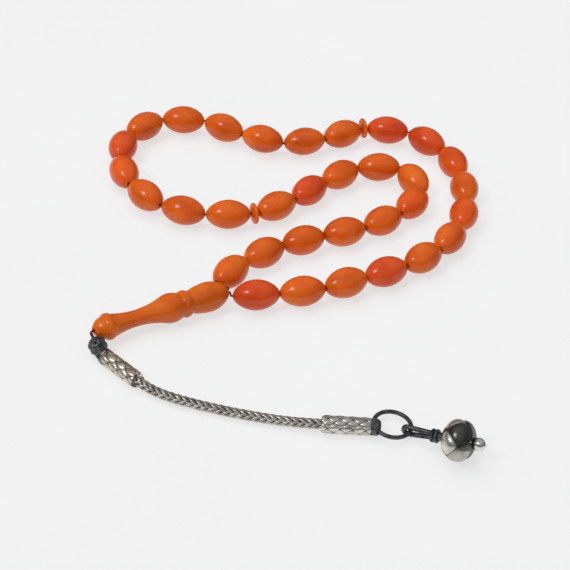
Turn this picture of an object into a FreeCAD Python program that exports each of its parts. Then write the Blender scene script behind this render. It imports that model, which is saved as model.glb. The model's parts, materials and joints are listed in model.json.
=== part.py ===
import FreeCAD, Part
import math
import os

import Sketcher

# A misbaha: prayer beads on one doubled thread, with a turned end piece (the imame) and a silver tassel.
# The string of beads lies in a loose loop on a flat surface. X runs across the loop, Y runs from the
# tassel towards the far side of the loop, and Z is up. The origin is on the surface, under the middle of
# the beads, the imame and the head of the tassel. Sizes are millimetres and angles are degrees.

DIMENSIONS = {
    # beads and marker discs, turned from the same rod of amber
    "bead_length": 13.8,
    "bead_diameter": 9.25,
    "bead_face_diameter": 2.0,
    "bead_tip_at": 0.7,
    "bead_tip_diameter": 4.05,
    "bead_shoulder_at": 1.6,
    "bead_shoulder_diameter": 5.74,
    "bead_bore": 1.4,
    "disc_thickness": 2.0,
    "disc_rim_start": 0.45,
    "disc_rim_end": 1.55,
    "disc_hub_diameter": 3.0,
    "disc_flank_diameter": 5.6,
    "disc_diameter": 6.8,
    # stringing thread
    "thread_diameter": 0.6,
    "thread_spacing": 0.9,
    "thread_bend_reach": 0.75,
    "first_bead_room": 0.8,
    "last_bead_room": 1.3,
    # imame: distances from its tip, and the diameter there
    "imame_bore": 2.0,
    "imame_face_diameter": 2.6,
    "imame_dome_at": 0.9,
    "imame_dome_diameter": 4.7,
    "imame_shoulder_at": 2.9,
    "imame_shoulder_diameter": 6.7,
    "imame_ring_at": 4.3,
    "imame_ring_diameter": 8.0,
    "imame_waist_at": 5.6,
    "imame_waist_diameter": 7.1,
    "imame_neck_at": 13.1,
    "imame_neck_diameter": 4.9,
    "imame_flare_at": 22.1,
    "imame_flare_diameter": 8.2,
    "imame_swell_at": 24.2,
    "imame_swell_diameter": 8.9,
    "imame_swell_end_at": 26.8,
    "imame_swell_end_diameter": 7.7,
    "imame_collar_start_at": 27.5,
    "imame_collar_start_diameter": 7.5,
    "imame_collar_at": 28.7,
    "imame_collar_diameter": 8.2,
    "imame_collar_end_at": 29.9,
    "imame_collar_end_diameter": 7.3,
    "imame_groove_at": 30.6,
    "imame_groove_diameter": 7.0,
    "imame_bulb_rise_at": 33.2,
    "imame_bulb_rise_diameter": 8.4,
    "imame_bulb_at": 36.4,
    "imame_bulb_diameter": 9.0,
    "imame_bulb_fall_at": 39.9,
    "imame_bulb_fall_diameter": 7.4,
    "imame_length": 42.4,
    "imame_mouth_face_diameter": 3.8,
    "imame_mouth_diameter": 3.2,
    "imame_mouth_floor_at": 41.2,
    "imame_heading": 32.6,
    # knot ball and neck, where the thread enters the tassel
    "knot_length": 4.8,
    "knot_face_diameter": 2.56,
    "knot_diameter": 5.44,
    "knot_pocket_diameter": 2.2,
    "knot_pocket_depth": 1.3,
    "knot_heading": -56.0,
    "knot_rise": -10.0,
    "neck_length": 2.2,
    "neck_end_diameter": 3.2,
    "neck_diameter": 4.2,
    # woven sleeves and the braid between them
    "sleeve_socket_diameter": 3.0,
    "sleeve_socket_depth": 3.0,
    "sleeve_chamfer": 0.8,
    "upper_sleeve_length": 14.1,
    "upper_sleeve_diameter": 4.6,
    "upper_sleeve_end_diameter": 3.9,
    "upper_sleeve_heading": -39.5,
    "lower_sleeve_length": 13.8,
    "lower_sleeve_diameter": 5.1,
    "lower_sleeve_end_diameter": 4.3,
    "lower_sleeve_heading": 3.2,
    "braid_diameter": 3.2,
    # end cap and ring
    "cap_length": 2.9,
    "cap_overlap": 0.4,
    "cap_shoulder_at": 2.1,
    "cap_diameter": 4.7,
    "cap_end_diameter": 3.6,
    "cap_hole_diameter": 1.8,
    "cap_hole_at": 1.75,
    "ring_diameter": 10.4,
    "ring_wire": 1.1,
    "ring_sag": 0.28,
    "ring_heading": 24.0,
    "ring_rise": -4.0,
    "ring_roll": -1.0,
    "ring_crossing": -42.0,
    # hanger link and pendant, along an axis that starts where the ring crosses the link
    "link_wire": 1.05,
    "link_eye_radius": 1.2,
    "link_eye_at": -0.75,
    "link_leg_spacing": 1.4,
    "link_end_at": 7.1,
    "collar_at": 6.3,
    "collar_end_diameter": 2.7,
    "collar_rib_diameter": 3.9,
    "collar_rib_pitch": 1.2,
    "collar_valley_diameter": 3.0,
    "collar_length": 4.0,
    "collar_neck_diameter": 2.4,
    "ball_at": 10.05,
    "ball_length": 8.9,
    "ball_pole_diameter": 2.9,
    "ball_flank_at": 0.95,
    "ball_flank_diameter": 7.4,
    "ball_shoulder_at": 2.2,
    "ball_shoulder_diameter": 10.3,
    "ball_diameter": 12.0,
    "ball_hole_diameter": 2.6,
    "core_gap": 1.1,
    "shell_clearance": 0.1,
    "core_end_diameter": 5.0,
    "core_face_diameter": 4.0,
    "core_diameter": 9.6,
    "core_bore": 1.0,
    "pin_at": 9.5,
    "pin_length": 10.9,
    "pin_diameter": 0.9,
    "granule_at": 18.9,
    "granule_middle_at": 1.52,
    "granule_length": 3.344,
    "granule_base_diameter": 2.28,
    "granule_diameter": 3.8,
    "granule_tip_diameter": 1.064,
    "pendant_heading": -25.0,
    "pendant_rise": 15.9,
}

# Chosen places on the surface: X, Y and, where it differs, Z.
IMAME_TIP = (-51.6, -50.8)
KNOT_CENTRE = (-49.8, -55.0, 2.8)
UPPER_SLEEVE_START = (-47.65, -58.2, 2.35)
LOWER_SLEEVE_START = (14.7, -77.3, 2.6)

# The line that the joints between the beads follow, from one side of the imame's mouth to the other.
LOOP_ROUTE = [
    (-14.35, -29.9), (0.0, -26.6), (13.5, -22.0), (26.0, -14.5), (38.0, -7.5), (48.0, 2.5), (54.7, 15.0),
    (56.8, 29.0), (55.3, 43.0), (49.7, 56.2), (38.0, 64.3), (22.5, 64.2), (9.0, 55.0), (-4.5, 50.5),
    (-18.5, 54.0), (-31.5, 59.5), (-46.1, 57.7), (-55.7, 46.5), (-56.2, 32.0), (-50.2, 18.9),
    (-39.0, 10.0), (-25.0, 8.0), (-9.5, 11.5), (11.5, 32.5), (22.5, 42.0), (37.1, 43.2), (43.2, 30.0),
    (35.0, 18.0), (24.0, 9.0), (11.0, 3.0), (-1.5, -4.0), (-11.9, -13.1), (-19.65, -25.55),
]

# The thread outside the imame's mouth: distance from the tip along the imame, then distance to its left.
MOUTH_BENDS_TO_FIRST_BEAD = [(43.5, -0.45)]
MOUTH_BENDS_TO_LAST_BEAD = [(43.8, 0.45), (43.5, 2.0)]
# How far the thread runs past the imame's tip before it bends down, and then on into the knot ball.
TIP_BEND = 1.1
THREAD_END = 0.9

# The braid's route from inside the upper sleeve to inside the lower one.
BRAID_ROUTE = [
    (-38.3, -65.9, 2.35), (-34.0, -69.4, 1.95), (-26.0, -72.2, 1.7), (-15.0, -74.5, 1.65),
    (-2.5, -76.2, 1.65), (8.5, -77.2, 2.0), (16.9, -77.18, 2.6),
]

GROUPS = [11, 11, 11]
SMALLEST_TURN = 0.01
LARGEST_RADIUS = 60.0
VOLUME_TOLERANCE = 0.01

doc = FreeCAD.newDocument("Misbaha")
sheet = doc.addObject("Spreadsheet::Sheet", "Dimensions")
for row, (alias, value) in enumerate(DIMENSIONS.items(), 1):
    sheet.set(f"A{row}", alias)
    sheet.set(f"B{row}", str(value))
    sheet.setAlias(f"B{row}", alias)
doc.recompute()

parts = []


class Size:
    """A sum of multiples of the sheet's cells: a number to draw with and an expression to bind to."""

    def __init__(self, terms):
        self.terms = terms

    def __add__(self, other):
        return Size(self.terms + other.terms)

    def __sub__(self, other):
        return self + other * -1.0

    def __mul__(self, factor):
        return Size([(alias, scale * factor) for alias, scale in self.terms])

    def number(self):
        return sum(float(sheet.get(alias)) * scale for alias, scale in self.terms)

    def expression(self):
        return " + ".join(f"Dimensions.{alias} * {scale}" for alias, scale in self.terms)


def cell(alias):
    """One cell of the sheet."""
    return Size([(alias, 1.0)])


def as_size(term):
    """A term of an outline: the alias of a cell, or a Size."""
    return cell(term) if isinstance(term, str) else term


def size(alias):
    """The number in one cell of the sheet."""
    return cell(alias).number()


def heading_vector(heading, rise=0.0):
    """The unit vector with this heading from +X and this rise above the horizontal, in degrees."""
    level = math.cos(math.radians(rise))
    x = level * math.cos(math.radians(heading))
    y = level * math.sin(math.radians(heading))
    return FreeCAD.Vector(x, y, math.sin(math.radians(rise)))


def facing(base, direction, side=FreeCAD.Vector(0, 0, 1)):
    """A placement at base with local X along direction and local Z as near to side as it can be."""
    x = FreeCAD.Vector(direction).normalize()
    y = side.cross(x).normalize()
    z = x.cross(y)
    matrix = FreeCAD.Matrix(x.x, y.x, z.x, base.x, x.y, y.y, z.y, base.y, x.z, y.z, z.z, base.z, 0, 0, 0, 1)
    return FreeCAD.Placement(matrix)


def origin_plane(body, role):
    """The origin plane of a body that has this role."""
    return next(item for item in body.Origin.OriginFeatures if item.Role == role)


def new_sketch(body, name, role):
    """A sketch attached to one of its own body's origin planes."""
    sketch = body.newObject("Sketcher::SketchObject", name)
    sketch.AttachmentSupport = (origin_plane(body, role), [""])
    sketch.MapMode = "FlatFace"
    return sketch


def pin_point(sketch, geometry, position, along, across):
    """Fix a sketch point at two terms of the sheet; None stands for a place on the axis."""
    for term, kind, axis in ((along, "DistanceX", -2), (across, "DistanceY", -1)):
        if term is None:
            sketch.addConstraint(Sketcher.Constraint("PointOnObject", geometry, position, axis))
        else:
            constraint = Sketcher.Constraint(kind, -1, 1, geometry, position, term.number())
            index = sketch.addConstraint(constraint)
            sketch.setExpression(f"Constraints[{index}]", term.expression())


def half(term):
    """Half of a term: the radius of a diameter."""
    return None if term is None else as_size(term) * 0.5


def add_arc(sketch, start, through, end):
    """Draw an arc, counter-clockwise as a sketch keeps it, and give its places for start and end."""
    if (through - start).cross(end - through).z > 0:
        return sketch.addGeometry(Part.Arc(start, through, end), False), (1, 2)
    return sketch.addGeometry(Part.Arc(end, through, start), False), (2, 1)


def turned_body(label, outline, placement):
    """Revolve a closed outline about local X.

    The outline is a list of corners (along, diameter). A corner with four terms is reached by an arc
    through the point that its first two terms give. None stands for zero.
    """
    corners = [[None if term is None else as_size(term) for term in corner] for corner in outline]

    def point(along, diameter):
        x = 0.0 if along is None else along.number()
        y = 0.0 if diameter is None else half(diameter).number()
        return FreeCAD.Vector(x, y, 0)

    body = doc.addObject("PartDesign::Body", label)
    sketch = new_sketch(body, label + "_outline", "XY_Plane")
    for number, corner in enumerate(corners):
        start = point(*corners[number - 1][-2:])
        end = point(*corner[-2:])
        if len(corner) == 4:
            geometry, ends = add_arc(sketch, start, point(*corner[:2]), end)
            through = sketch.addGeometry(Part.Point(point(*corner[:2])), True)
            sketch.addConstraint(Sketcher.Constraint("PointOnObject", through, 1, geometry))
            pin_point(sketch, through, 1, corner[0], half(corner[1]))
        else:
            geometry = sketch.addGeometry(Part.LineSegment(start, end), False)
            ends = (1, 2)
        if number == 0:
            first = (geometry, ends[0])
        else:
            sketch.addConstraint(Sketcher.Constraint("Coincident", *last, geometry, ends[0]))
        last = (geometry, ends[1])
        pin_point(sketch, geometry, ends[1], corner[-2], half(corner[-1]))
    sketch.addConstraint(Sketcher.Constraint("Coincident", *last, *first))
    revolution = body.newObject("PartDesign::Revolution", label + "_turned")
    revolution.Profile = sketch
    revolution.ReferenceAxis = (sketch, ["H_Axis"])
    revolution.Angle = 360.0
    body.Tip = revolution
    body.Placement = placement
    return body


def keep(item, label):
    """Name an object as a sub-part that is written out."""
    item.Label = label
    parts.append(item)
    return item


def wire_along(points, reach=None):
    """Straight runs joined by tangent arcs, and the radii of the arcs.

    An arc takes 0.45 of its shorter run, or no more than reach where a reach is given.
    """
    edges = []
    radii = []
    place = points[0]
    for before, corner, after in zip(points, points[1:], points[2:]):
        into = FreeCAD.Vector(corner - before).normalize()
        out = FreeCAD.Vector(after - corner).normalize()
        turn = into.getAngle(out)
        if turn < SMALLEST_TURN:
            continue
        setback = 0.45 * min((corner - before).Length, (after - corner).Length)
        if reach is not None:
            setback = min(setback, reach)
        radius = min(setback / math.tan(turn / 2), LARGEST_RADIUS)
        setback = radius * math.tan(turn / 2)
        start = corner - into * setback
        end = corner + out * setback
        bisector = FreeCAD.Vector(out - into).normalize()
        middle = corner + bisector * (radius / math.cos(turn / 2) - radius)
        edges.append(Part.LineSegment(place, start).toShape())
        edges.append(Part.Arc(start, middle, end).toShape())
        radii.append(round(radius, 1))
        place = end
    edges.append(Part.LineSegment(place, points[-1]).toShape())
    return Part.Wire(edges), radii


def tube(label, points, diameter, reach=None):
    """A round cord along a route of runs and arcs, standing at its first point."""
    base = points[0]
    path, radii = wire_along([point - base for point in points], reach)
    first_run = FreeCAD.Vector(points[1] - base)
    section = Part.Wire([Part.Circle(FreeCAD.Vector(), first_run, size(diameter) / 2).toShape()])
    solid = path.makePipeShell([section], True, False)
    expected = math.pi * (size(diameter) / 2) ** 2 * path.Length
    if abs(solid.Volume / expected - 1) > VOLUME_TOLERANCE:
        raise RuntimeError(f"{label}: volume {solid.Volume:.2f} where {expected:.2f} is expected")
    print(label, "length", round(path.Length, 1), "radii", radii)
    item = doc.addObject("Part::Feature", label)
    item.Shape = solid
    item.Placement = FreeCAD.Placement(base, FreeCAD.Rotation())
    return item


# ---- the string of beads -----------------------------------------------------------------------------

AXIS_HEIGHT = size("bead_diameter") / 2


def bead(label, placement):
    """An olive-shaped bead with small flat faces round its bore."""
    length = cell("bead_length")
    far_shoulder = length - cell("bead_shoulder_at")
    far_tip = length - cell("bead_tip_at")
    outline = [
        (None, "bead_bore"),
        (None, "bead_face_diameter"),
        ("bead_tip_at", "bead_tip_diameter", "bead_shoulder_at", "bead_shoulder_diameter"),
        (length * 0.5, "bead_diameter", far_shoulder, "bead_shoulder_diameter"),
        (far_tip, "bead_tip_diameter", length, "bead_face_diameter"),
        (length, "bead_bore"),
    ]
    return turned_body(label, outline, placement)


def marker_disc(label, placement):
    """A thin lens-shaped disc that marks off a group of beads."""
    outline = [
        (None, "bead_bore"),
        (None, "disc_hub_diameter"),
        ("disc_rim_start", "disc_flank_diameter"),
        (cell("disc_thickness") * 0.5, "disc_diameter", "disc_rim_end", "disc_flank_diameter"),
        ("disc_thickness", "disc_hub_diameter"),
        ("disc_thickness", "bead_bore"),
    ]
    return turned_body(label, outline, placement)


def step_along(curve, parameter, chord):
    """The parameter at which the curve is a chord's length away from the point at parameter."""
    here = curve.value(parameter)
    fine = (curve.LastParameter - curve.FirstParameter) / 2000
    high = parameter
    while curve.value(high).distanceToPoint(here) < chord:
        high += fine
        if high > curve.LastParameter:
            return None
    low = high - fine
    for _ in range(30):
        middle = (low + high) / 2
        if curve.value(middle).distanceToPoint(here) < chord:
            low = middle
        else:
            high = middle
    return high


def joints_along(curve, lengths, face_radius, slack):
    """Joints between pieces that follow a curve, with room in each joint for its turn.

    Gives the joints, the room kept before and after each piece, and the curve's unused length.
    """
    first_room = size("first_bead_room")
    last_room = size("last_bead_room")
    turns = [0.0] * (len(lengths) + 1)
    for _ in range(4):
        room = [slack / 2 + face_radius * math.tan(turn / 2) for turn in turns]
        room = [first_room] + room[1:-1] + [last_room]
        parameter = curve.FirstParameter
        joints = [curve.value(parameter)]
        for number, length in enumerate(lengths):
            parameter = step_along(curve, parameter, room[number] + length + room[number + 1])
            if parameter is None:
                return None
            joints.append(curve.value(parameter))
        runs = [after - before for before, after in zip(joints, joints[1:])]
        turns = [0.0] + [before.getAngle(after) for before, after in zip(runs, runs[1:])] + [0.0]
    unused = curve.length(parameter, curve.LastParameter)
    return joints, room, unused


def strung_loop():
    """The joints of the loop, with the slack of the thread shared evenly between the pieces."""
    curve = Part.BSplineCurve()
    curve.interpolate([FreeCAD.Vector(x, y, AXIS_HEIGHT) for x, y in LOOP_ROUTE])
    names = []
    number = 0
    for group, count in enumerate(GROUPS):
        for _ in range(count):
            number += 1
            names.append(f"bead_{number:02d}")
        if group < len(GROUPS) - 1:
            names.append(f"marker_disc_{group + 1}")
    lengths = [size("bead_length") if "bead" in name else size("disc_thickness") for name in names]
    face_radius = size("bead_face_diameter") / 2
    low = 0.05
    high = 1.0
    for _ in range(40):
        slack = (low + high) / 2
        if joints_along(curve, lengths, face_radius, slack) is None:
            high = slack
        else:
            low = slack
    joints, room, unused = joints_along(curve, lengths, face_radius, low)
    print("slack in each joint", round(low, 3), "unused", round(unused, 3))
    return names, joints, room


names, joints, room = strung_loop()
for number, name in enumerate(names):
    along = FreeCAD.Vector(joints[number + 1] - joints[number]).normalize()
    base = joints[number] + along * room[number]
    make = bead if "bead" in name else marker_disc
    keep(make(name, facing(base, along)), name)


# ---- the imame ---------------------------------------------------------------------------------------

imame_axis = heading_vector(size("imame_heading"))
imame_left = heading_vector(size("imame_heading") + 90)
imame_tip = FreeCAD.Vector(*IMAME_TIP, AXIS_HEIGHT)


def imame(label):
    """The turned end piece: a domed tip and ring, a long neck, a swelling, a collar and a bulb."""
    outline = [
        (None, "imame_bore"),
        (None, "imame_face_diameter"),
        ("imame_dome_at", "imame_dome_diameter", "imame_shoulder_at", "imame_shoulder_diameter"),
        ("imame_ring_at", "imame_ring_diameter", "imame_waist_at", "imame_waist_diameter"),
        ("imame_neck_at", "imame_neck_diameter", "imame_flare_at", "imame_flare_diameter"),
        ("imame_swell_at", "imame_swell_diameter", "imame_swell_end_at", "imame_swell_end_diameter"),
        ("imame_collar_start_at", "imame_collar_start_diameter"),
        ("imame_collar_at", "imame_collar_diameter", "imame_collar_end_at", "imame_collar_end_diameter"),
        ("imame_groove_at", "imame_groove_diameter"),
        ("imame_bulb_rise_at", "imame_bulb_rise_diameter", "imame_bulb_at", "imame_bulb_diameter"),
        ("imame_bulb_fall_at", "imame_bulb_fall_diameter", "imame_length", "imame_mouth_face_diameter"),
        ("imame_length", "imame_mouth_diameter"),
        ("imame_mouth_floor_at", "imame_bore"),
    ]
    return turned_body(label, outline, facing(imame_tip, imame_axis))


keep(imame("imame"), "imame")


# ---- the head of the tassel --------------------------------------------------------------------------

knot_axis = heading_vector(size("knot_heading"), size("knot_rise"))
knot_centre = FreeCAD.Vector(*KNOT_CENTRE)
knot_mouth = knot_centre - knot_axis * (size("knot_length") / 2)


def knot_ball(label):
    """A ball of wrapped wire with a pocket that the thread's ends go into."""
    outline = [
        ("knot_pocket_depth", None),
        ("knot_pocket_depth", "knot_pocket_diameter"),
        (None, "knot_pocket_diameter"),
        (None, "knot_face_diameter"),
        (cell("knot_length") * 0.5, "knot_diameter", "knot_length", "knot_face_diameter"),
        ("knot_length", None),
    ]
    return turned_body(label, outline, facing(knot_mouth, knot_axis))


def neck_collar(label, placement):
    """The wrapped neck between the ball and the sleeve."""
    outline = [
        (None, None),
        (None, "neck_end_diameter"),
        (cell("neck_length") * 0.5, "neck_diameter", "neck_length", "neck_end_diameter"),
        ("neck_length", None),
    ]
    return turned_body(label, outline, placement)


def sleeve(label, stem, placement):
    """A woven sleeve, closed at its start and with a socket for the braid at its end."""
    length = cell(stem + "_length")
    shoulder = length - cell("sleeve_chamfer")
    socket_floor = length - cell("sleeve_socket_depth")
    outline = [
        (None, None),
        (None, stem + "_end_diameter"),
        ("sleeve_chamfer", stem + "_diameter"),
        (shoulder, stem + "_diameter"),
        (length, stem + "_end_diameter"),
        (length, "sleeve_socket_diameter"),
        (socket_floor, "sleeve_socket_diameter"),
        (socket_floor, None),
    ]
    return turned_body(label, outline, placement)


knot_end = knot_centre + knot_axis * (size("knot_length") / 2)
upper_sleeve_start = FreeCAD.Vector(*UPPER_SLEEVE_START)
upper_sleeve_axis = heading_vector(size("upper_sleeve_heading"))
neck_run = upper_sleeve_start - knot_end
neck_axis = FreeCAD.Vector(neck_run).normalize()
neck_base = (knot_end + upper_sleeve_start) * 0.5 - neck_axis * (size("neck_length") / 2)

keep(knot_ball("knot_ball"), "knot_ball")
keep(neck_collar("neck_collar", facing(neck_base, neck_axis)), "neck_collar")
upper_sleeve_place = facing(upper_sleeve_start, upper_sleeve_axis)
keep(sleeve("upper_sleeve", "upper_sleeve", upper_sleeve_place), "upper_sleeve")


# ---- the stringing thread ----------------------------------------------------------------------------


def thread():
    """One thread: up through the imame, round all the beads and back down through the imame.

    Its two strands lie side by side in the imame, across the plane in which they bend into the ball.
    """
    bend = imame_tip - imame_axis * TIP_BEND
    into_ball = FreeCAD.Vector(knot_mouth - bend)
    end = knot_mouth + FreeCAD.Vector(into_ball).normalize() * THREAD_END
    across = imame_axis.cross(into_ball).normalize()
    offset = across * (size("thread_spacing") / 2)

    def mouth_points(bends):
        return [imame_tip + imame_axis * along + imame_left * left for along, left in bends]

    points = [end - offset, bend - offset]
    points += mouth_points(MOUTH_BENDS_TO_FIRST_BEAD)
    points += joints
    points += reversed(mouth_points(MOUTH_BENDS_TO_LAST_BEAD))
    points += [bend + offset, end + offset]
    return tube("stringing_thread", points, "thread_diameter", size("thread_bend_reach"))


keep(thread(), "stringing_thread")


# ---- the braid and the lower sleeve ------------------------------------------------------------------


def braid():
    """The round braid of silver wire that hangs between the two sleeves."""
    return tube("braided_cord", [FreeCAD.Vector(*place) for place in BRAID_ROUTE], "braid_diameter")


keep(braid(), "braided_cord")

lower_sleeve_start = FreeCAD.Vector(*LOWER_SLEEVE_START)
lower_sleeve_axis = heading_vector(size("lower_sleeve_heading"))
lower_sleeve_end = lower_sleeve_start + lower_sleeve_axis * size("lower_sleeve_length")
lower_sleeve_place = facing(lower_sleeve_end, lower_sleeve_axis * -1)
keep(sleeve("lower_sleeve", "lower_sleeve", lower_sleeve_place), "lower_sleeve")


# ---- end cap and ring --------------------------------------------------------------------------------

cap_base = lower_sleeve_end - lower_sleeve_axis * size("cap_overlap")
hole_centre = cap_base + lower_sleeve_axis * size("cap_hole_at")
ring_out = heading_vector(size("ring_heading"), size("ring_rise"))
ring_across = heading_vector(size("ring_heading") + 90, size("ring_roll"))
ring_across = (ring_across - ring_out * ring_across.dot(ring_out)).normalize()
ring_centre = hole_centre + ring_out * (size("ring_diameter") / 2 - size("ring_sag"))


def end_cap(label):
    """The cap that closes the lower sleeve, with a cross hole that the ring passes through."""
    outline = [
        (None, None),
        (None, "cap_diameter"),
        ("cap_shoulder_at", "cap_diameter"),
        ("cap_length", "cap_end_diameter"),
        ("cap_length", None),
    ]
    blank = turned_body(label + "_blank", outline, facing(cap_base, lower_sleeve_axis))
    drill = doc.addObject("Part::Cylinder", label + "_drill")
    drill.setExpression("Radius", "Dimensions.cap_hole_diameter / 2")
    drill.setExpression("Height", "Dimensions.cap_diameter * 2")
    base = hole_centre - ring_across * size("cap_diameter")
    drill.Placement = FreeCAD.Placement(base, FreeCAD.Rotation(FreeCAD.Vector(0, 0, 1), ring_across))
    cut = doc.addObject("Part::Cut", label)
    cut.Base = blank
    cut.Tool = drill
    return cut


def hanging_ring(label):
    """The round wire ring, lying almost flat with one side in the cap's hole."""
    ring = doc.addObject("Part::Torus", label)
    ring.setExpression("Radius1", "Dimensions.ring_diameter / 2")
    ring.setExpression("Radius2", "Dimensions.ring_wire / 2")
    ring.Placement = facing(ring_centre, ring_out, ring_out.cross(ring_across))
    return ring


keep(end_cap("end_cap"), "end_cap")
keep(hanging_ring("hanging_ring"), "hanging_ring")


# ---- the pendant -------------------------------------------------------------------------------------

crossing_angle = math.radians(size("ring_crossing"))
crossing_out = ring_out * math.cos(crossing_angle) + ring_across * math.sin(crossing_angle)
ring_crossing = ring_centre + crossing_out * (size("ring_diameter") / 2)
pendant_axis = heading_vector(size("pendant_heading"), size("pendant_rise"))
pendant_side = FreeCAD.Vector(0, 0, 1).cross(pendant_axis).normalize()


def on_pendant(alias):
    """The placement at a cell's distance along the pendant's axis, looking along it."""
    return facing(ring_crossing + pendant_axis * size(alias), pendant_axis)


def hanger_link(label):
    """A bent wire link: an eye round the ring, and two legs that close in on the collar."""
    body = doc.addObject("PartDesign::Body", label)
    path = new_sketch(body, label + "_path", "XY_Plane")
    eye = cell("link_end_at") - cell("link_eye_at")
    reach = eye.number()
    foot = size("link_leg_spacing") / 2
    radius = size("link_eye_radius")
    lean = math.asin(radius / math.hypot(reach, foot)) - math.atan2(foot, reach)
    touch = (reach - radius * math.sin(lean), radius * math.cos(lean))
    above = FreeCAD.Vector(touch[0], touch[1], 0)
    below = FreeCAD.Vector(touch[0], -touch[1], 0)
    tip = FreeCAD.Vector(reach + radius, 0, 0)
    upper_line = path.addGeometry(Part.LineSegment(FreeCAD.Vector(0, foot, 0), above), False)
    turn_arc, ends = add_arc(path, above, tip, below)
    lower_line = path.addGeometry(Part.LineSegment(below, FreeCAD.Vector(0, -foot, 0)), False)
    path.addConstraint(Sketcher.Constraint("Tangent", upper_line, 2, turn_arc, ends[0]))
    path.addConstraint(Sketcher.Constraint("Tangent", turn_arc, ends[1], lower_line, 1))
    path.addConstraint(Sketcher.Constraint("PointOnObject", turn_arc, 3, -1))
    for kind, position, term in (
        ("DistanceX", (turn_arc, 3), eye),
        ("DistanceY", (upper_line, 1), half("link_leg_spacing")),
    ):
        index = path.addConstraint(Sketcher.Constraint(kind, -1, 1, *position, term.number()))
        path.setExpression(f"Constraints[{index}]", term.expression())
    path.addConstraint(Sketcher.Constraint("PointOnObject", upper_line, 1, -2))
    path.addConstraint(Sketcher.Constraint("PointOnObject", lower_line, 2, -2))
    index = path.addConstraint(Sketcher.Constraint("Radius", turn_arc, radius))
    path.setExpression(f"Constraints[{index}]", "Dimensions.link_eye_radius")
    section = new_sketch(body, label + "_section", "YZ_Plane")
    circle = Part.Circle(FreeCAD.Vector(foot, 0, 0), FreeCAD.Vector(0, 0, 1), size("link_wire") / 2)
    ring = section.addGeometry(circle, False)
    section.addConstraint(Sketcher.Constraint("PointOnObject", ring, 3, -1))
    index = section.addConstraint(Sketcher.Constraint("DistanceX", -1, 1, ring, 3, foot))
    section.setExpression(f"Constraints[{index}]", half("link_leg_spacing").expression())
    index = section.addConstraint(Sketcher.Constraint("Radius", ring, size("link_wire") / 2))
    section.setExpression(f"Constraints[{index}]", half("link_wire").expression())
    pipe = body.newObject("PartDesign::AdditivePipe", label + "_wire")
    pipe.Profile = section
    pipe.Spine = (path, ["Edge1", "Edge2", "Edge3"])
    body.Tip = pipe
    base = ring_crossing + pendant_axis * size("link_end_at")
    body.Placement = facing(base, pendant_axis * -1, pendant_side)
    return body


def link_collar(label):
    """The collar with two ribs that holds the link's legs, and its neck in the ball's pole."""
    pitch = cell("collar_rib_pitch")
    outline = [
        (None, None),
        (None, "collar_end_diameter"),
        (pitch * 0.5, "collar_rib_diameter", pitch, "collar_valley_diameter"),
        (pitch * 1.5, "collar_rib_diameter", pitch * 2, "collar_end_diameter"),
        (pitch * 2, "collar_neck_diameter"),
        ("collar_length", "collar_neck_diameter"),
        ("collar_length", None),
    ]
    return turned_body(label, outline, on_pendant("collar_at"))


def ball_shell(label):
    """The hollow woven ball, flattened along its axis and open at both poles."""
    length = cell("ball_length")
    inside_start = cell("core_gap") - cell("shell_clearance")
    inside_end = length - inside_start
    outline = [
        (None, "ball_hole_diameter"),
        (None, "ball_pole_diameter"),
        ("ball_flank_at", "ball_flank_diameter", "ball_shoulder_at", "ball_shoulder_diameter"),
        (length * 0.5, "ball_diameter", length - cell("ball_shoulder_at"), "ball_shoulder_diameter"),
        (length - cell("ball_flank_at"), "ball_flank_diameter", length, "ball_pole_diameter"),
        (length, "ball_hole_diameter"),
        (inside_end, "ball_hole_diameter"),
        (inside_end, "core_end_diameter"),
        (length * 0.5, cell("core_diameter") + cell("shell_clearance") * 2, inside_start, "core_end_diameter"),
        (inside_start, "ball_hole_diameter"),
    ]
    return turned_body(label, outline, on_pendant("ball_at"))


def ball_core(label):
    """The turned former inside the woven ball, bored for the pin."""
    length = cell("ball_length") - cell("core_gap") * 2
    outline = [
        (None, "core_bore"),
        (None, "core_face_diameter"),
        (length * 0.5, "core_diameter", length, "core_face_diameter"),
        (length, "core_bore"),
    ]
    place = facing(ring_crossing + pendant_axis * (size("ball_at") + size("core_gap")), pendant_axis)
    return turned_body(label, outline, place)


def pendant_pin(label):
    """The pin that runs from the collar through the core to the granule."""
    pin = doc.addObject("Part::Cylinder", label)
    pin.setExpression("Radius", "Dimensions.pin_diameter / 2")
    pin.setExpression("Height", "Dimensions.pin_length")
    base = ring_crossing + pendant_axis * size("pin_at")
    pin.Placement = FreeCAD.Placement(base, FreeCAD.Rotation(FreeCAD.Vector(0, 0, 1), pendant_axis))
    return pin


def granule(label):
    """The small silver grain that ends the pendant."""
    outline = [
        (None, None),
        (None, "granule_base_diameter"),
        ("granule_middle_at", "granule_diameter", "granule_length", "granule_tip_diameter"),
        ("granule_length", None),
    ]
    return turned_body(label, outline, on_pendant("granule_at"))


for make in (hanger_link, link_collar, ball_shell, ball_core, pendant_pin, granule):
    keep(make(make.__name__), make.__name__)


# ---- check and write ---------------------------------------------------------------------------------

doc.recompute()

for item in doc.Objects:
    if "Invalid" in item.State or "Error" in item.State:
        raise RuntimeError(f"{item.Label} did not recompute: {item.State}")
for item in parts:
    if item.Shape.isNull() or not item.Shape.isValid():
        raise RuntimeError(f"{item.Label} has no valid shape")
    if len(item.Shape.Solids) != 1:
        raise RuntimeError(f"{item.Label} has {len(item.Shape.Solids)} solids")

os.makedirs("parts", exist_ok=True)
for item in parts:
    item.Shape.exportStep(f"parts/{item.Label}.step")

print("parts", len(parts))
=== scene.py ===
import json
import math

import bpy
import numpy as np
from mathutils import Matrix, Vector

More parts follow.
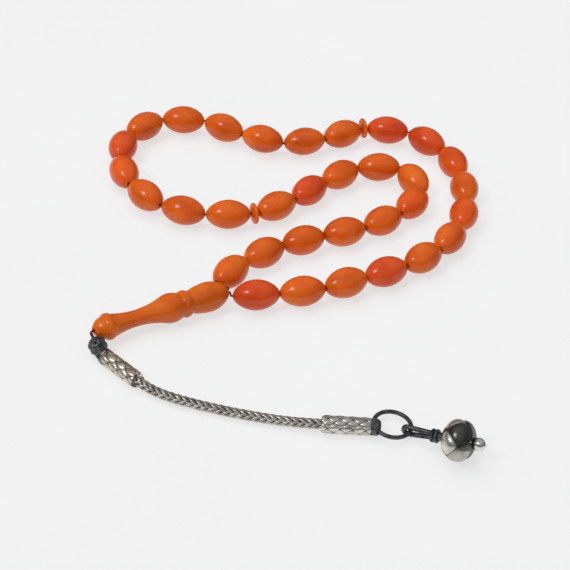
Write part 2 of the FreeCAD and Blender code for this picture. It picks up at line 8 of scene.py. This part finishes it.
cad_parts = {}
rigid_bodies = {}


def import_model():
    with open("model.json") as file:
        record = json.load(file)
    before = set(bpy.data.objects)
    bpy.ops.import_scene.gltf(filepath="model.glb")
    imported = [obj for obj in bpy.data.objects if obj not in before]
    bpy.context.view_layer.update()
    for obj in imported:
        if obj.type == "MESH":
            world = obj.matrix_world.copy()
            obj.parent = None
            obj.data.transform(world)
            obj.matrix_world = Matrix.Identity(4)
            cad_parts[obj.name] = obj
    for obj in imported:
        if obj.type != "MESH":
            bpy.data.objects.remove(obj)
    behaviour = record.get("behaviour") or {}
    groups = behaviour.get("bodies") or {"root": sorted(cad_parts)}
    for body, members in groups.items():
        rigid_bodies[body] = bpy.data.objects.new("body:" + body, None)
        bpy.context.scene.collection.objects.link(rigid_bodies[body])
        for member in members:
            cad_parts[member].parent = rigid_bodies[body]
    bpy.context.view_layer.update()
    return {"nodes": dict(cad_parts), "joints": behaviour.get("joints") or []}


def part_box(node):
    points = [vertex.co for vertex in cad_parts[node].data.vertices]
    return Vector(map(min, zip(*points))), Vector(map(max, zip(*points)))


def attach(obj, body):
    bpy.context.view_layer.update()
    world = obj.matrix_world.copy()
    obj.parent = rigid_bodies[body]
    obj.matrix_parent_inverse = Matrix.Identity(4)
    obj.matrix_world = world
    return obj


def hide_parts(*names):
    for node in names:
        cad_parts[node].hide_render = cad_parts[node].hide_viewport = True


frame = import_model()

MM = 0.001
JOINT_OF = {joint["child"]: joint for joint in frame["joints"]}

# ---- camera ------------------------------------------------------------------------------------------

CAMERA_PLACE = (0.00125, -0.39665, 0.31659)
CAMERA_DOWN = math.radians(39.81)
CAMERA_ROLL = math.radians(5.585)

ahead = Vector((0, math.cos(CAMERA_DOWN), -math.sin(CAMERA_DOWN)))
level_up = Vector((0, math.sin(CAMERA_DOWN), math.cos(CAMERA_DOWN)))
level_right = Vector((1, 0, 0))
right = level_right * math.cos(CAMERA_ROLL) + level_up * math.sin(CAMERA_ROLL)
up = level_up * math.cos(CAMERA_ROLL) - level_right * math.sin(CAMERA_ROLL)

camera_data = bpy.data.cameras.new("camera")
camera_data.sensor_width = 36
camera_data.lens = 103.4
camera_data.clip_start = 0.01
camera = bpy.data.objects.new("camera", camera_data)
camera.matrix_world = Matrix.Translation(CAMERA_PLACE) @ Matrix((right, up, -ahead)).transposed().to_4x4()
bpy.context.collection.objects.link(camera)
bpy.context.scene.camera = camera
bpy.context.scene.view_settings.view_transform = "Standard"


# ---- materials ---------------------------------------------------------------------------------------


class Material:
    """A node material that is built up step by step."""

    def __init__(self, name):
        self.made = bpy.data.materials.new(name)
        self.made.use_nodes = True
        self.tree = self.made.node_tree
        self.shader = self.tree.nodes["Principled BSDF"]

    def node(self, kind, **settings):
        made = self.tree.nodes.new(kind)
        for key, value in settings.items():
            setattr(made, key, value)
        return made

    def link(self, source, target):
        self.tree.links.new(source, target)

    def set(self, **values):
        for name, value in values.items():
            self.shader.inputs[name.replace("_", " ")].default_value = value

    def noise(self, scale, detail=3.0, roughness=0.5, stretch=None):
        """Noise in object space, which is the space of the whole model."""
        place = self.node("ShaderNodeTexCoord").outputs["Object"]
        if stretch:
            mapping = self.node("ShaderNodeMapping")
            mapping.inputs["Scale"].default_value = stretch
            self.link(place, mapping.inputs["Vector"])
            place = mapping.outputs["Vector"]
        made = self.node("ShaderNodeTexNoise")
        made.inputs["Scale"].default_value = scale
        made.inputs["Detail"].default_value = detail
        made.inputs["Roughness"].default_value = roughness
        self.link(place, made.inputs["Vector"])
        return made.outputs["Fac"]

    def ramp(self, source, stops):
        """A colour ramp; stops are (place, colour)."""
        made = self.node("ShaderNodeValToRGB")
        elements = made.color_ramp.elements
        while len(elements) < len(stops):
            elements.new(0.5)
        for element, (place, colour) in zip(elements, stops):
            element.position = place
            element.color = (*colour, 1)
        self.link(source, made.inputs["Fac"])
        return made.outputs["Color"]

    def mix(self, amount, first, second):
        """A blend of two colours by amount; a colour is a socket or three numbers."""
        made = self.node("ShaderNodeMix", data_type="RGBA")
        self.link(amount, made.inputs["Factor"])
        for value, socket in ((first, made.inputs[6]), (second, made.inputs[7])):
            if isinstance(value, tuple):
                socket.default_value = (*value, 1)
            else:
                self.link(value, socket)
        return made.outputs[2]

    def range(self, source, low, high, start=0.0, end=1.0):
        """A value mapped from start..end to low..high."""
        made = self.node("ShaderNodeMapRange")
        made.inputs["From Min"].default_value = start
        made.inputs["From Max"].default_value = end
        made.inputs["To Min"].default_value = low
        made.inputs["To Max"].default_value = high
        self.link(source, made.inputs["Value"])
        return made.outputs["Result"]

    def attribute(self, name):
        return self.node("ShaderNodeAttribute", attribute_name=name).outputs["Fac"]

    def bump(self, height, distance, strength=1.0):
        made = self.node("ShaderNodeBump")
        made.inputs["Distance"].default_value = distance
        made.inputs["Strength"].default_value = strength
        self.link(height, made.inputs["Height"])
        self.link(made.outputs["Normal"], self.shader.inputs["Normal"])


def amber(name, deep, clear, light):
    """Polished amber resin: cloudy swirls, a little light inside it, and fine wear in its polish."""
    made = Material(name)
    cloud = made.noise(110, detail=2.5, stretch=(1.0, 1.0, 1.6))
    swirl = made.ramp(cloud, [(0.3, deep), (0.5, clear), (0.72, light)])
    made.link(swirl, made.shader.inputs["Base Color"])
    made.link(made.range(made.noise(900), 0.16, 0.24), made.shader.inputs["Roughness"])
    made.set(Subsurface_Weight=0.6, Subsurface_Scale=0.004, Subsurface_Radius=(1.0, 0.25, 0.06), IOR=1.5)
    made.set(Specular_IOR_Level=0.36)
    made.bump(made.noise(260, detail=1.0), 0.00004, 0.5)
    return made.made


# Painted shade: the greenish black painted on the ball's darker lobes.
LOBE_SHADE_COLOUR = (0.055, 0.06, 0.055)


def silver(name, dark, light, seam, shine, shaded_lobes=False):
    """Worn silver: bright on what stands proud and dark in the seams, with fine scratches."""
    made = Material(name)
    blotch = made.noise(420, detail=4.0)
    face = made.mix(made.range(blotch, 0, 1, 0.35, 0.65), dark, light)
    # Painted light and shade: on the ball, some lobes are painted light and others painted dark.
    if shaded_lobes:
        face = made.mix(made.attribute("lobe_shade"), LOBE_SHADE_COLOUR, face)
    relief = made.attribute("relief")
    edge = made.ramp(relief, [(0.05, (0, 0, 0)), (0.45, (1, 1, 1))])
    face = made.mix(edge, seam, face)
    made.link(face, made.shader.inputs["Base Color"])
    scratched = made.range(made.noise(1500, detail=5.0), shine - 0.08, shine + 0.12)
    made.link(scratched, made.shader.inputs["Roughness"])
    made.set(Metallic=1.0)
    made.bump(made.noise(2600, detail=4.0, stretch=(1.0, 1.0, 3.0)), 0.00003, 0.5)
    return made.made


def oxidised(name, dark, light, shine):
    """Darkened silver wire with paler worn places and drawn scratches."""
    made = Material(name)
    worn = made.noise(700, detail=5.0, roughness=0.6)
    face = made.ramp(worn, [(0.35, dark), (0.7, light)])
    made.link(face, made.shader.inputs["Base Color"])
    scratched = made.range(made.noise(1800, detail=3.0), shine - 0.08, shine + 0.15)
    made.link(scratched, made.shader.inputs["Roughness"])
    made.set(Metallic=0.9)
    made.bump(made.noise(1900, detail=4.0), 0.00004, 0.6)
    return made.made


def thread_fibre():
    """Dark twisted thread."""
    made = Material("thread_fibre")
    strand = made.noise(5200, detail=2.0, stretch=(1.0, 2.5, 1.0))
    made.link(made.ramp(strand, [(0.3, (0.05, 0.007, 0.005)), (0.7, (0.16, 0.022, 0.012))]),
              made.shader.inputs["Base Color"])
    made.set(Roughness=0.85)
    made.bump(strand, 0.0001, 0.8)
    return made.made


def paper():
    """The pale floor: a matt sheet that glows a little, with a faint unevenness."""
    made = Material("floor_paper")
    grain = made.noise(12, detail=2.0)
    made.link(made.ramp(grain, [(0.3, (0.235, 0.24, 0.24)), (0.7, (0.245, 0.25, 0.25))]),
              made.shader.inputs["Base Color"])
    made.set(Roughness=0.9, Specular_IOR_Level=0.1)
    made.set(Emission_Color=(1.0, 1.0, 1.0, 1.0), Emission_Strength=0.615)
    return made.made


AMBER = amber("amber_orange", (0.50, 0.072, 0.003), (0.62, 0.108, 0.006), (0.68, 0.145, 0.011))
AMBER_WARM = amber("amber_warm", (0.52, 0.060, 0.003), (0.64, 0.090, 0.006), (0.70, 0.120, 0.012))
AMBER_RED = amber("amber_red", (0.50, 0.048, 0.006), (0.60, 0.072, 0.010), (0.65, 0.098, 0.016))
AMBER_PALE = amber("amber_imame", (0.47, 0.078, 0.002), (0.58, 0.108, 0.004), (0.64, 0.145, 0.009))
WOVEN_WARM = silver("woven_warm_silver", (0.44, 0.38, 0.31), (0.80, 0.71, 0.58), (0.035, 0.022, 0.012), 0.32)
WOVEN = silver("woven_silver", (0.50, 0.46, 0.42), (0.82, 0.77, 0.70), (0.035, 0.028, 0.02), 0.32)
BRAIDED = silver("braided_silver", (0.36, 0.33, 0.30), (0.64, 0.60, 0.54), (0.02, 0.016, 0.012), 0.4)
BALL = silver("ball_silver", (0.56, 0.52, 0.47), (0.86, 0.80, 0.72), (0.015, 0.013, 0.011), 0.30, shaded_lobes=True)
BRIGHT = silver("bright_silver", (0.62, 0.60, 0.56), (0.86, 0.84, 0.80), (0.1, 0.09, 0.08), 0.2)
DARK_WIRE = oxidised("dark_wire", (0.035, 0.037, 0.042), (0.15, 0.155, 0.165), 0.38)
DARK_WRAP = oxidised("dark_wrap", (0.05, 0.05, 0.052), (0.19, 0.185, 0.18), 0.42)
THREAD = thread_fibre()


# ---- meshes ------------------------------------------------------------------------------------------


def along_x(base, heading, rise=0.0):
    """The matrix of a place in millimetres whose X axis has this heading and rise in degrees."""
    turn = Matrix.Rotation(math.radians(heading), 4, "Z") @ Matrix.Rotation(math.radians(-rise), 4, "Y")
    return Matrix.Translation([value * MM for value in base]) @ turn


def grid_mesh(name, places, values, material, place=None, closed_along=False):
    """A tube of quads through rings of places, with named values on its points."""
    rings, around = places.shape[:2]
    points = places.reshape(-1, 3) * MM
    if place is not None:
        turn = np.array(place)
        points = points @ turn[:3, :3].T + turn[:3, 3]
    faces = []
    for ring in range(rings if closed_along else rings - 1):
        for side in range(around):
            after = (side + 1) % around
            onward = (ring + 1) % rings
            faces.append((ring * around + side, onward * around + side,
                          onward * around + after, ring * around + after))
    mesh = bpy.data.meshes.new(name)
    mesh.from_pydata(points.tolist(), [], faces)
    for key, field in values.items():
        layer = mesh.attributes.new(key, "FLOAT", "POINT")
        layer.data.foreach_set("value", np.ascontiguousarray(field, dtype=np.float32).ravel())
    mesh.polygons.foreach_set("use_smooth", [True] * len(faces))
    mesh.materials.append(material)
    mesh.update()
    made = bpy.data.objects.new(name, mesh)
    bpy.context.collection.objects.link(made)
    return made


def joined(name, pieces):
    """Several meshes made into one object."""
    with bpy.context.temp_override(active_object=pieces[0], selected_editable_objects=pieces):
        bpy.ops.object.join()
    pieces[0].name = name
    return pieces[0]


def frames_along(line):
    """Two steady normals along a line."""
    tangents = np.gradient(line, axis=0)
    tangents /= np.linalg.norm(tangents, axis=1)[:, None]
    normal = np.cross(tangents[0], (0.0, 0.0, 1.0))
    firsts = []
    for tangent in tangents:
        normal = normal - tangent * normal.dot(tangent)
        normal = normal / np.linalg.norm(normal)
        firsts.append(normal)
    firsts = np.array(firsts)
    return firsts, np.cross(tangents, firsts)


# Distances from the middle of a braid at which its wires are darkest and brightest.
DEEP = 1.02
CROWN = 1.5


def strand(name, line, radius, material, around=16, place=None, loop=False, heart=None):
    """A round wire along a line, in millimetres; its relief grows away from a heart line."""
    if loop:
        tangents = np.roll(line, -1, axis=0) - np.roll(line, 1, axis=0)
        tangents /= np.linalg.norm(tangents, axis=1)[:, None]
        outward = line - line.mean(axis=0)
        outward -= tangents * (outward * tangents).sum(axis=1)[:, None]
        firsts = outward / np.linalg.norm(outward, axis=1)[:, None]
        seconds = np.cross(tangents, firsts)
    else:
        firsts, seconds = frames_along(line)
    turns = np.linspace(0, 2 * math.pi, around, endpoint=False)
    across = np.cos(turns)[None, :, None] * firsts[:, None, :]
    upward = np.sin(turns)[None, :, None] * seconds[:, None, :]
    places = line[:, None, :] + (across + upward) * radius
    heights = np.full(places.shape[:2], 1.0)
    if heart is not None:
        distance = np.linalg.norm(places - heart[:, None, :], axis=2)
        heights = np.clip((distance - DEEP) / (CROWN - DEEP), 0, 1)
    return grid_mesh(name, places, {"relief": heights}, material, place, loop)


# ---- the braid ---------------------------------------------------------------------------------------

BRAID_ROUTE = [
    (-0.0383, -0.0659, 0.00235), (-0.034, -0.0694, 0.00195), (-0.026, -0.0722, 0.0017),
    (-0.015, -0.0745, 0.00165), (-0.0025, -0.0762, 0.00165), (0.0085, -0.0772, 0.002),
    (0.0169, -0.07718, 0.0026),
]
# One strand goes once round the braid in this length.
BRAID_LEAD = 12.4
BRAID_PAIRS = 6
# A wire's radius, its mean distance from the middle, and how far it goes over and under the others.
BRAID_STRAND = 0.44
BRAID_CENTRE = 0.88
BRAID_CROSSING = 0.26
BRAID_STEPS = 1100
SEAM_TOWARDS_CAMERA = math.radians(-39.8)


def smooth_line(route, steps):
    """Evenly spaced points, in millimetres, along the smooth line that a route controls."""
    curve = bpy.data.curves.new("route", "CURVE")
    curve.dimensions = "3D"
    curve.resolution_u = 24
    spline = curve.splines.new("NURBS")
    spline.points.add(len(route) - 1)
    for point, place in zip(spline.points, route):
        point.co = (*place, 1)
    spline.order_u = 3
    spline.use_endpoint_u = True
    holder = bpy.data.objects.new("route", curve)
    bpy.context.collection.objects.link(holder)
    bpy.context.view_layer.update()
    mesh = bpy.data.meshes.new_from_object(holder.evaluated_get(bpy.context.evaluated_depsgraph_get()))
    raw = np.array([vertex.co[:] for vertex in mesh.vertices]) / MM
    bpy.data.objects.remove(holder)
    bpy.data.curves.remove(curve)
    bpy.data.meshes.remove(mesh)
    run = np.concatenate([[0], np.cumsum(np.linalg.norm(np.diff(raw, axis=0), axis=1))])
    even = np.linspace(0, run[-1], steps)
    return np.stack([np.interp(even, run, raw[:, axis]) for axis in range(3)], axis=1), even


def braid():
    """Wire strands plaited round, over three and under three, so that the crowns form a herringbone."""
    line, run = smooth_line(BRAID_ROUTE, BRAID_STEPS)
    firsts, seconds = frames_along(line)
    upper_row = SEAM_TOWARDS_CAMERA - math.radians(45)
    strands = []
    for number in range(2 * BRAID_PAIRS):
        way = 1 if number % 2 == 0 else -1
        angle = 2 * math.pi * (way * run / BRAID_LEAD + (number // 2) / BRAID_PAIRS) + upper_row
        radius = BRAID_CENTRE + BRAID_CROSSING * way * np.cos(2 * (angle - upper_row))
        aside = (np.cos(angle) * radius)[:, None] * firsts
        above = (np.sin(angle) * radius)[:, None] * seconds
        centre = line + aside + above
        strands.append(strand(f"strand_{number}", centre, BRAID_STRAND, BRAIDED, heart=line))
    return joined("braid", strands), line, run


braid_piece, braid_line, braid_run = braid()


# ---- floor and light ---------------------------------------------------------------------------------


def floor():
    mesh = bpy.data.meshes.new("floor")
    reach = 3.0
    corners = [(-reach, -reach, 0), (reach, -reach, 0), (reach, reach, 0), (-reach, reach, 0)]
    mesh.from_pydata(corners, [], [(0, 1, 2, 3)])
    mesh.materials.append(paper())
    made = bpy.data.objects.new("floor", mesh)
    bpy.context.collection.objects.link(made)


def sun(name, towards, energy, spread, glossy=False, shadow=True):
    """A distant light that shines towards a direction; only a glossy one shows as a highlight."""
    data = bpy.data.lights.new(name, "SUN")
    data.energy = energy
    data.angle = math.radians(spread)
    data.use_shadow = shadow
    made = bpy.data.objects.new(name, data)
    made.visible_glossy = glossy
    made.rotation_euler = Vector(towards).to_track_quat("-Z", "Y").to_euler()
    bpy.context.collection.objects.link(made)


def sky():
    """Studio surroundings: dark round the sides and bright overhead."""
    world = bpy.data.worlds.new("studio")
    world.use_nodes = True
    tree = world.node_tree
    background = tree.nodes["Background"]
    place = tree.nodes.new("ShaderNodeTexCoord")
    split = tree.nodes.new("ShaderNodeSeparateXYZ")
    ramp = tree.nodes.new("ShaderNodeValToRGB")
    ramp.color_ramp.elements[0].position = 0.1
    ramp.color_ramp.elements[0].color = (0.03, 0.03, 0.03, 1)
    ramp.color_ramp.elements[1].position = 0.8
    ramp.color_ramp.elements[1].color = (0.48, 0.48, 0.49, 1)
    tree.links.new(place.outputs["Generated"], split.inputs[0])
    tree.links.new(split.outputs["Z"], ramp.inputs["Fac"])
    tree.links.new(ramp.outputs["Color"], background.inputs["Color"])
    bpy.context.scene.world = world


floor()
sun("overhead", (0.30, -0.30, -0.95), 1.2, 50)
sun("fill", (0.0, 0.7, -0.7), 0.8, 40, shadow=False)
sun("highlight", (0.526, 0.361, -0.765), 0.85, 15, glossy=True)
sky()


# ---- beads, discs, imame and thread ------------------------------------------------------------------


def arc_between(start, through, end, steps):
    """Places on the circle through three places, after start up to end."""
    start, through, end = (complex(*place) for place in (start, through, end))
    ratio = (end - start) / (through - start)
    centre = start + (through - start) * (ratio - abs(ratio) ** 2) / (2j * ratio.imag)
    turn = np.angle((through - centre) / (start - centre)) + np.angle((end - centre) / (through - centre))
    swept = centre + (start - centre) * np.exp(1j * turn * np.linspace(0, 1, steps + 1)[1:])
    return [(place.real, place.imag) for place in swept]


def turned(name, outline, place, material, around=96, steps=14, worn=0.0, seed=0):
    """A body turned about local X from corners (along, diameter), some reached by arcs, in millimetres."""
    line = []
    for number, corner in enumerate(outline):
        end = (corner[-2], corner[-1] / 2)
        if len(corner) == 4:
            line += arc_between(line[-1], (corner[0], corner[1] / 2), end, steps)
        else:
            line.append(end)
    line = np.array(line)
    angle = np.linspace(0, 2 * math.pi, around, endpoint=False)
    shapes = np.random.default_rng(seed)
    shift = shapes.uniform(0, 2 * math.pi, 2)
    ripple = 1 + worn * (np.cos(2 * angle + shift[0]) + np.cos(3 * angle + shift[1])) / 2
    x = np.repeat(line[:, :1], around, axis=1)
    r = line[:, 1:] * ripple[None, :]
    places = np.stack([x, r * np.cos(angle), r * np.sin(angle)], axis=2)
    relief = np.ones(places.shape[:2])
    made = grid_mesh(name, places, {"relief": relief}, material, place, closed_along=True)
    made.data.set_sharp_from_angle(angle=math.radians(38))
    return made


BEAD_LENGTH = 13.8
BEAD_OUTLINE = [
    (0.7, 1.4), (0.0, 1.9), (0.04, 2.06), (0.7, 4.05, 1.6, 5.74), (6.9, 9.25, 12.2, 5.74),
    (13.1, 4.05, 13.76, 2.06), (13.8, 1.9), (13.1, 1.4),
]
DISC_LENGTH = 2.0
DISC_OUTLINE = [
    (0.0, 1.4), (0.0, 3.0), (0.45, 5.6), (1.0, 6.8, 1.55, 5.6), (2.0, 3.0), (2.0, 1.4),
]
IMAME_OUTLINE = [
    (1.5, 2.0), (0.0, 2.0), (0.0, 2.6), (0.9, 4.7, 2.9, 6.7), (4.3, 8.0, 5.6, 7.1), (13.1, 4.9, 22.1, 8.2),
    (24.2, 8.9, 26.8, 7.7), (27.5, 7.5), (28.7, 8.2, 29.9, 7.3), (30.6, 7.0), (33.2, 8.4, 36.4, 9.0),
    (39.9, 7.4, 42.4, 3.8), (42.4, 3.2), (41.2, 2.0),
]
RED_BEADS = ("bead_01", "bead_04", "bead_10", "bead_11", "bead_18", "bead_24")
WARM_BEADS = ("bead_07", "bead_09", "bead_19", "bead_28")


def middle_of(node):
    """The middle of a CAD node's box, in metres."""
    low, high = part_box(node)
    return (Vector(low) + Vector(high)) / 2


def heading_of(direction):
    """The heading of a level direction, in degrees."""
    return math.degrees(math.atan2(direction[1], direction[0]))


def string_of_beads():
    """Every bead and marker disc, on its own joint's axis."""
    for number, node in enumerate(frame["nodes"]):
        if not node.startswith(("bead_", "marker_disc")):
            continue
        outline, length = (BEAD_OUTLINE, BEAD_LENGTH) if "bead" in node else (DISC_OUTLINE, DISC_LENGTH)
        material = AMBER_RED if node in RED_BEADS else AMBER_WARM if node in WARM_BEADS else AMBER
        middle = along_x(middle_of(node) / MM, heading_of(JOINT_OF[node]["axis"]))
        place = middle @ Matrix.Translation((-length / 2 * MM, 0, 0))
        piece = turned("turned_" + node, outline, place, material, worn=0.003, seed=number)
        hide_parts(node)
        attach(piece, node)


string_of_beads()
spin = JOINT_OF["imame"]
imame_place = along_x(Vector(spin["pos_m"]) / MM, heading_of(spin["axis"]))
imame = turned("turned_imame", IMAME_OUTLINE, imame_place, AMBER_PALE, around=128, steps=26)
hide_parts("imame")
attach(imame, "imame")


# The wires of the ring and the link look this much fuller than their solids.
WIRE_SWELL = {"hanging_ring": 0.06 * MM, "hanger_link": 0.2 * MM}


def finish_node(node, material):
    """Give a CAD node this material."""
    shown = bpy.data.objects[node]
    shown.data.materials.clear()
    shown.data.materials.append(material)


finish_node("stringing_thread", THREAD)
for node in ("ball_core", "pendant_pin", "hanging_ring", "hanger_link", "link_collar"):
    finish_node(node, DARK_WIRE)
for node, fuller in WIRE_SWELL.items():
    swell = bpy.data.objects[node].modifiers.new("swell", "DISPLACE")
    swell.mid_level = 0
    swell.strength = fuller
finish_node("end_cap", DARK_WRAP)


# ---- woven silver ------------------------------------------------------------------------------------


def weave(u, v):
    """Relief (0 in a seam, 1 on a crown) of a diamond weave with one diamond to each unit of u and v."""
    p = v + u
    q = v - u
    across = np.abs(np.sin(math.pi * p))
    down = np.abs(np.sin(math.pi * q))
    over = (np.floor(p) + np.floor(q)) % 2 == 0
    first = np.where(over, across, down)
    second = np.where(over, down, across)
    return first ** 0.35 * second ** 0.55


# A sleeve rounds off over this length at each end, and its ends close in to this part of their radius.
SLEEVE_SHOULDER = 1.1
END_CLOSED_TO = 0.3
SEAM_DEPTH = 0.30


def woven_sleeve(name, place, length, radius, start_radius, end_radius, pitch, columns, turn, material):
    """A sleeve of flat wire woven in diamonds: so many columns round it, each diamond one pitch long."""
    rings, around = 220, 128
    along = np.linspace(0, 1, rings)[:, None]
    angle = np.linspace(0, 2 * math.pi, around, endpoint=False)[None, :]
    x = along * length
    relief = weave(columns * angle / (2 * math.pi) + turn, x / pitch)
    near = np.sqrt(np.clip(1 - (1 - np.clip(x / SLEEVE_SHOULDER, 0, 1)) ** 2, 0, 1))
    far = np.sqrt(np.clip(1 - (1 - np.clip((length - x) / SLEEVE_SHOULDER, 0, 1)) ** 2, 0, 1))
    body = start_radius + (radius - start_radius) * near - (radius - end_radius) * (1 - far)
    r = body - SEAM_DEPTH * (1 - relief) * near * far
    x = np.broadcast_to(x, (rings, around))
    places = np.stack([x, r * np.cos(angle), r * np.sin(angle)], axis=2)
    closed = places[[0, -1]] * (1, END_CLOSED_TO, END_CLOSED_TO)
    places = np.concatenate([closed[:1], places, closed[1:]], axis=0)
    relief = np.concatenate([relief[:1] * 0, relief, relief[-1:] * 0], axis=0)
    return grid_mesh(name, places, {"relief": relief}, material, place)


UPPER_SLEEVE = along_x((-47.65, -58.2, 2.35), -39.5)
LOWER_SLEEVE = along_x((14.7, -77.3, 2.6), 3.2)

upper_sleeve = woven_sleeve("woven_upper_sleeve", UPPER_SLEEVE, length=14.1, radius=2.45, start_radius=1.9,
                            end_radius=1.7, pitch=3.9, columns=4, turn=0.3, material=WOVEN_WARM)
lower_sleeve = woven_sleeve("woven_lower_sleeve", LOWER_SLEEVE, length=13.8, radius=2.6, start_radius=1.8,
                            end_radius=2.0, pitch=3.45, columns=5, turn=0.25, material=WOVEN)
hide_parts("upper_sleeve")
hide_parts("lower_sleeve")


def wound_coil(name, place, radius, wire, start, turns):
    """Close turns of dark wire round local X."""
    angle = np.linspace(0, 2 * math.pi * turns, int(64 * turns))
    x = start + wire * 2 * angle / (2 * math.pi)
    line = np.stack([x, radius * np.cos(angle), radius * np.sin(angle)], axis=1)
    return strand(name, line, wire, DARK_WRAP, place=place)


KNOT_BALL = along_x((-49.8, -55.0, 2.8), -56.0, -10.0)
KNOT_WIRE = 0.8
KNOT_REACH = 1.9
KNOT_SPACING = 0.85


def knot():
    """A ball knotted from thick wire: three sets of turns, each over the next."""
    pieces = []
    angle = np.linspace(0, 2 * math.pi, 96, endpoint=False)
    place = KNOT_BALL @ Matrix.Rotation(math.radians(25), 4, "X")
    for plane in range(3):
        for shift in (-KNOT_SPACING, KNOT_SPACING):
            reach = math.sqrt(KNOT_REACH ** 2 - shift ** 2) + 0.05 + 0.1 * np.cos(2 * angle)
            level = np.full_like(angle, shift)
            ring = np.stack([level, reach * np.cos(angle), reach * np.sin(angle)], axis=1)
            ring = np.roll(ring, plane, axis=1)
            name = f"turn_{plane}_{shift}"
            pieces.append(strand(name, ring, KNOT_WIRE, DARK_WRAP, place=place, loop=True))
    return joined("knotted_ball", pieces)


knotted_ball = knot()
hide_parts("knot_ball")

NECK = along_x((-49.0, -56.4, 2.5), -56.0, -1.0)
neck_turns = wound_coil("neck_turns", NECK, 1.62, wire=0.36, start=0.0, turns=3.4)
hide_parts("neck_collar")

upper_start_turns = wound_coil("upper_start_turns", UPPER_SLEEVE, 2.0, wire=0.4, start=0.1, turns=2.4)
upper_end_turns = wound_coil("upper_end_turns", UPPER_SLEEVE, 1.85, wire=0.36, start=12.7, turns=2.0)
lower_end_turns = wound_coil("lower_end_turns", LOWER_SLEEVE, 2.02, wire=0.34, start=13.2, turns=2.6)

for piece in (braid_piece, upper_sleeve, lower_sleeve):
    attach(piece, "tassel")
for piece in (knotted_ball, neck_turns, upper_start_turns, upper_end_turns, lower_end_turns):
    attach(piece, "tassel")
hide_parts("braided_cord")


# ---- the woven ball ----------------------------------------------------------------------------------


PENDANT_HEADING = -25.0
PENDANT_RISE = 15.9
RING_CROSSING = Vector(JOINT_OF["pendant"]["pos_m"]) / MM
BALL_HALF_LENGTH = 4.45
BALL_RADIUS = 6.0
BALL_HOLE_RADIUS = 1.35
BALL_SEAM_DEPTH = 0.55
BALL_TURN = 0.26


def on_pendant(distance):
    """The place at this distance from the ring's crossing, along the pendant."""
    along = along_x(RING_CROSSING, PENDANT_HEADING, PENDANT_RISE)
    return along @ Matrix.Translation((distance * MM, 0, 0))


def woven_ball():
    """A ball of broad flat strips in two staggered rows of four lobes, with painted light on the near row
    and painted shade on most of the far row.
    """
    rings, around = 160, 160
    t = np.linspace(0, 1, rings)[:, None]
    angle = np.linspace(0, 2 * math.pi, around, endpoint=False)[None, :]
    sweep = math.asin(BALL_HOLE_RADIUS / BALL_RADIUS)
    polar = sweep + t * (math.pi - 2 * sweep)
    u = 4 * angle / (2 * math.pi) + BALL_TURN
    v = 0.75 * (2 * t - 1)
    p = v - 0.25 + u
    q = v - 0.25 - u
    relief = (np.abs(np.sin(math.pi * p)) * np.abs(np.sin(math.pi * q))) ** 0.4
    near_row = np.floor(p) + np.floor(q) == -2
    column = (np.floor(p) - np.floor(q)) % 8
    # Painted light and shade: the near row's lobes are light, one far lobe is half shaded, and the rest are
    # painted dark.
    lobe_shade = np.where(near_row, 0.95, np.where(column == 5, 0.6, 0.1))
    r = BALL_RADIUS * np.sin(polar) ** 0.9 - BALL_SEAM_DEPTH * (1 - relief) * np.sin(polar)
    x = BALL_HALF_LENGTH - BALL_HALF_LENGTH * np.cos(polar) / math.cos(sweep)
    x = np.broadcast_to(x, (rings, around))
    places = np.stack([x, r * np.cos(angle), r * np.sin(angle)], axis=2)
    return grid_mesh("woven_ball", places, {"relief": relief, "lobe_shade": lobe_shade}, BALL, on_pendant(BALL_AT))


BALL_AT = 10.05
GRANULE_AT = 18.9
GRANULE_OUTLINE = [(0.0, 0.4), (0.0, 2.28), (1.52, 3.8, 3.344, 1.064), (3.4, 0.9), (3.4, 0.4)]
ball = woven_ball()
granule = turned("turned_granule", GRANULE_OUTLINE, on_pendant(GRANULE_AT), BRIGHT, around=64)
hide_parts("ball_shell")
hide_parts("granule")
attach(ball, "pendant")
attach(granule, "pendant")
